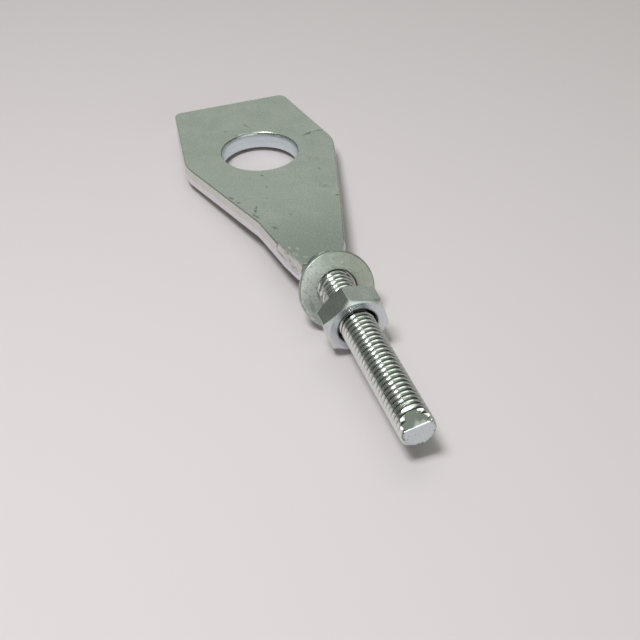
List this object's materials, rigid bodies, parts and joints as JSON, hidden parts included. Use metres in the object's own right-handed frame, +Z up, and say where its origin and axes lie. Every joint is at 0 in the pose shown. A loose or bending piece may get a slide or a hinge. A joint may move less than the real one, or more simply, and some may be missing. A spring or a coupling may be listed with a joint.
{
  "type": "motorcycle chain adjuster",
  "caption": "Motorcycle chain adjuster: a punched steel plate with an axle hole, a threaded stud welded to its narrow end, and a washer and hexagonal nut on the stud.",
  "frame": {"origin": "centre of the axle hole at the middle of the plate's thickness", "axes": "+X along the stud towards its free end, +Z up as the part lies at rest on the plate's far edge and the washer, +Y across the plate"},
  "size_m": [0.1002, 0.0292, 0.0116],
  "materials": {
    "plate_zinc": "bright zinc plating over punched sheet, satin, with faint mottling, pits and scratches",
    "stud_zinc": "bright zinc plating over a rolled thread",
    "weld_zinc": "zinc plating over a rough weld collar",
    "washer_zinc": "mottled satin zinc plating over a stamped ring",
    "nut_zinc": "satin zinc plating over a forged nut"
  },
  "bodies": {
    "adjuster": {"adjuster_plate": "plate_zinc", "threaded_stud": "stud_zinc", "weld_bead": "weld_zinc"},
    "washer": {"plain_washer": "washer_zinc"},
    "nut": {"hex_nut": "nut_zinc"}
  },
  "joints": [
    {"name": "washer_travel", "type": "slide", "parent": "adjuster", "child": "washer", "axis": [1, 0, 0], "range_m": [-0.001, 0.024]},
    {"name": "nut_turn", "type": "hinge", "parent": "washer", "child": "nut", "pos_m": [0.0389, -0.001, 0.00277], "axis": [1, 0, 0], "range_deg": [-361, 8641]}
  ],
  "couplings": [
    {"joint": "nut_turn", "follows": "washer_travel", "rad_per_m": 6283.2}
  ]
}
